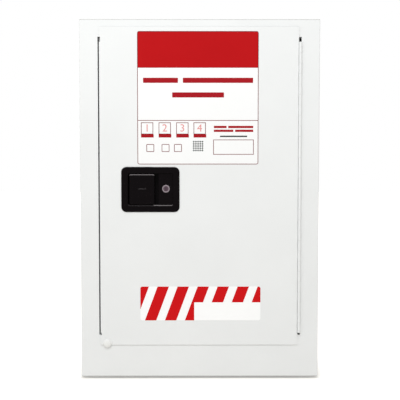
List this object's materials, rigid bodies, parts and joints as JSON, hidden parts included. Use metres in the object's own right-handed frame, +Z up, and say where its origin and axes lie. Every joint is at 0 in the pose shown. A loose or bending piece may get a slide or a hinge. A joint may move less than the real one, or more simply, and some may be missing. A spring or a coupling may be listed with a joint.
{
  "type": "safety cabinet",
  "caption": "Low white double-wall steel safety cabinet with one piano-hinged door, recessed paddle latch, key lock, shelf, sump, side vents and levelling feet.",
  "frame": {"origin": "middle of the footprint on the floor", "axes": "+Z up, the door faces -Y, +X to the right seen from the front"},
  "size_m": [0.606, 0.467, 0.89],
  "materials": {
    "white_coat": "off-white powder coat, satin, faint orange peel",
    "zinc_sheet": "galvanised sheet steel, dull",
    "bright_steel": "zinc-plated bright steel",
    "brass": "plain brass",
    "flame_screen": "perforated stainless steel",
    "gasket": "black rubber",
    "cap": "off-white powder coat on a cast cap",
    "foot": "black nylon",
    "black_latch": "black powder-coated zinc, satin",
    "lock_chrome": "polished ring",
    "lock_face": "darker polished plug",
    "label": "printed vinyl, red field over white",
    "stripe": "printed vinyl, red and white stripes",
    "white_nylon": "white nylon"
  },
  "bodies": {
    "root": {"outer_case": "white_coat", "back_panel": "white_coat", "base_pan": "white_coat", "liner_case": "white_coat", "sump_pan": "white_coat", "floor_beams": "zinc_sheet", "wall_spacers": "zinc_sheet", "shelf_standards": "zinc_sheet", "shelf_clips": "zinc_sheet", "vent_sleeve_left": "brass", "vent_sleeve_right": "brass", "vent_screen_left": "flame_screen", "vent_screen_right": "flame_screen", "vent_gasket_left": "gasket", "vent_gasket_right": "gasket", "earth_stud": "bright_steel", "earth_washer": "brass", "earth_nut": "brass", "foot_nuts": "bright_steel", "hinge_frame_leaf": "white_coat", "hinge_pin": "bright_steel", "frame_leaf_rivets": "bright_steel", "rod_keepers": "zinc_sheet"},
    "door": {"door_skin": "white_coat", "door_inner_panel": "white_coat", "door_stiffeners": "zinc_sheet", "door_label": "label", "door_stripe_sticker": "stripe", "door_dome": "white_nylon", "hinge_door_leaf": "white_coat", "door_leaf_rivets": "bright_steel", "latch_access_cover": "white_coat", "cover_screws": "bright_steel", "latch_pan": "black_latch", "latch_clamps": "zinc_sheet", "lock_body": "lock_chrome", "lock_nut": "bright_steel", "paddle_pin": "black_latch", "actuator_post": "bright_steel", "rod_guides": "zinc_sheet"},
    "shelf": {"shelf": "zinc_sheet"},
    "paddle": {"latch_paddle": "black_latch", "paddle_spring": "bright_steel"},
    "actuator": {"latch_actuator": "zinc_sheet"},
    "rod_top": {"rod_top": "bright_steel"},
    "rod_bottom": {"rod_bottom": "bright_steel"},
    "lock": {"lock_plug": "lock_face", "lock_cam": "bright_steel"},
    "vent_cap_left": {"vent_cap_left": "cap"},
    "vent_cap_right": {"vent_cap_right": "cap"},
    "foot_front_left": {"foot_pad_front_left": "foot", "foot_stud_front_left": "bright_steel"},
    "foot_front_right": {"foot_pad_front_right": "foot", "foot_stud_front_right": "bright_steel"},
    "foot_back_left": {"foot_pad_back_left": "foot", "foot_stud_back_left": "bright_steel"},
    "foot_back_right": {"foot_pad_back_right": "foot", "foot_stud_back_right": "bright_steel"}
  },
  "joints": [
    {"name": "door_hinge", "type": "hinge", "parent": "root", "child": "door", "pos_m": [0.2468, -0.2303, 0.476], "axis": [0, 0, 1], "range_deg": [0, 175]},
    {"name": "paddle_pull", "type": "hinge", "parent": "door", "child": "paddle", "pos_m": [-0.167, -0.2235, 0.4733], "axis": [0, 0, -1], "range_deg": [0, 30], "deforming": ["paddle_spring"]},
    {"name": "actuator_turn", "type": "hinge", "parent": "door", "child": "actuator", "pos_m": [-0.1607, -0.196, 0.4543], "axis": [0, 1, 0], "range_deg": [0, 21.6]},
    {"name": "rod_top_slide", "type": "slide", "parent": "door", "child": "rod_top", "axis": [0, 0, -1], "range_m": [0, 0.01246], "stiffness_N_per_m": 440, "springref_m": -0.0143},
    {"name": "rod_bottom_slide", "type": "slide", "parent": "door", "child": "rod_bottom", "axis": [0, 0, 1], "range_m": [0, 0.0125]},
    {"name": "lock_turn", "type": "hinge", "parent": "door", "child": "lock", "pos_m": [-0.0831, -0.2295, 0.4752], "axis": [0, 1, 0], "range_deg": [0, 90]},
    {"name": "shelf_lift", "type": "slide", "parent": "root", "child": "shelf", "axis": [0, 0, 1], "range_m": [0, 0.04]},
    {"name": "vent_cap_left_pull", "type": "slide", "parent": "root", "child": "vent_cap_left", "axis": [-1, 0, 0], "range_m": [0, 0.04]},
    {"name": "vent_cap_right_pull", "type": "slide", "parent": "root", "child": "vent_cap_right", "axis": [1, 0, 0], "range_m": [0, 0.04]},
    {"name": "foot_front_left_screw", "type": "slide", "parent": "root", "child": "foot_front_left", "axis": [0, 0, -1], "range_m": [0, 0.02]},
    {"name": "foot_front_right_screw", "type": "slide", "parent": "root", "child": "foot_front_right", "axis": [0, 0, -1], "range_m": [0, 0.02]},
    {"name": "foot_back_left_screw", "type": "slide", "parent": "root", "child": "foot_back_left", "axis": [0, 0, -1], "range_m": [0, 0.02]},
    {"name": "foot_back_right_screw", "type": "slide", "parent": "root", "child": "foot_back_right", "axis": [0, 0, -1], "range_m": [0, 0.02]}
  ],
  "couplings": [
    {"joint": "paddle_pull", "follows": "rod_top_slide", "rad_per_m": 42},
    {"joint": "actuator_turn", "follows": "rod_top_slide", "rad_per_m": 30.114},
    {"joint": "rod_bottom_slide", "follows": "rod_top_slide", "ratio": 1}
  ]
}
